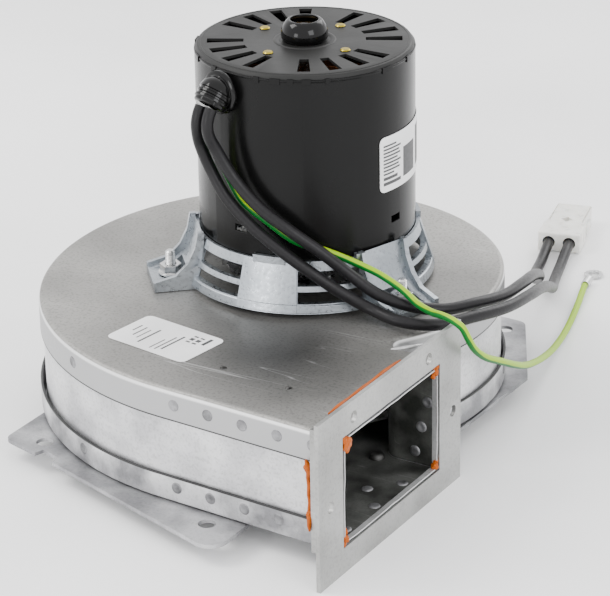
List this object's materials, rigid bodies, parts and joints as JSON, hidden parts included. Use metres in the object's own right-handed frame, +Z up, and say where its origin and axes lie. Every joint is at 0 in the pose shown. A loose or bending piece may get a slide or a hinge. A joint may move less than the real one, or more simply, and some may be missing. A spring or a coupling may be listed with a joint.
{
  "type": "combustion fan",
  "caption": "Furnace draft inducer: vertical can motor on a cast ring bracket above a sheet-steel scroll with a flanged side outlet, a blower wheel inside and wired motor leads",
  "frame": {"origin": "On the floor plane under the middle of the box of the fan itself, cords left out; the floor plane touches the lower edge of the outlet flange.", "axes": "+Z up along the motor shaft, away from the scroll; +X is the way the air leaves the outlet flange; +Y runs across the flange."},
  "size_m": [0.1931, 0.3537, 0.1572],
  "materials": {
    "galvanised_sheet": "mill galvanised, dull spangle, brushed",
    "zinc_casting": "as-cast zinc alloy, bluish, matt",
    "black_paint": "satin black baked paint",
    "cap_paint": "satin dark grey",
    "bright_steel": "zinc plated",
    "brass": "satin",
    "orange_sealant": "cured silicone, semi-gloss",
    "label_film": "matt film, no lettering",
    "black_nylon": "moulded, glossy",
    "lead_sleeve": "charcoal sleeving",
    "ground_stripe": "green and yellow striped insulation",
    "white_nylon": "milky natural nylon",
    "lamination": "stacked steel sheets, varnished",
    "enamelled_wire": "varnished copper wire",
    "sintered_bronze": "oil-filled sintered bronze"
  },
  "bodies": {
    "housing": {"scroll_wall": "galvanised_sheet", "housing_top_plate": "galvanised_sheet", "bottom_pan": "galvanised_sheet", "mounting_plate": "galvanised_sheet", "inlet_ring": "galvanised_sheet", "outlet_flange": "galvanised_sheet", "sealant_corner_1": "orange_sealant", "sealant_corner_2": "orange_sealant", "sealant_corner_3": "orange_sealant", "sealant_corner_4": "orange_sealant", "sealant_side_bead": "orange_sealant", "sealant_top_bead": "orange_sealant", "housing_label": "label_film", "motor_label": "label_film", "motor_shell": "black_paint", "lower_end_shield": "black_paint", "motor_end_cap": "cap_paint", "bearing_dome": "black_nylon", "strain_relief": "black_nylon", "cap_rivet_1": "brass", "cap_rivet_2": "brass", "cap_rivet_3": "brass", "cap_rivet_4": "brass", "bracket_bolt_1": "bright_steel", "bracket_bolt_2": "bright_steel", "bracket_bolt_3": "bright_steel", "bracket_nut_1": "bright_steel", "bracket_nut_2": "bright_steel", "bracket_nut_3": "bright_steel", "ring_terminal": "bright_steel", "motor_bracket": "zinc_casting", "stator_core": "lamination", "upper_winding": "enamelled_wire", "lower_winding": "enamelled_wire", "upper_bearing": "sintered_bronze", "lower_bearing": "sintered_bronze", "right_lead": "lead_sleeve", "left_lead": "lead_sleeve", "ground_wire": "ground_stripe", "lead_connector": "white_nylon"},
    "rotor": {"motor_shaft": "bright_steel", "rotor_core": "lamination", "cooling_fan": "bright_steel", "wheel_back_plate": "galvanised_sheet", "wheel_blade_ring": "galvanised_sheet", "wheel_hub": "bright_steel", "hub_setscrew": "bright_steel"}
  },
  "joints": [
    {"name": "rotor_spin", "type": "hinge", "parent": "housing", "child": "rotor", "pos_m": [0.00553, 0.02629, 0.03], "axis": [0, 0, 1], "continuous": true}
  ]
}
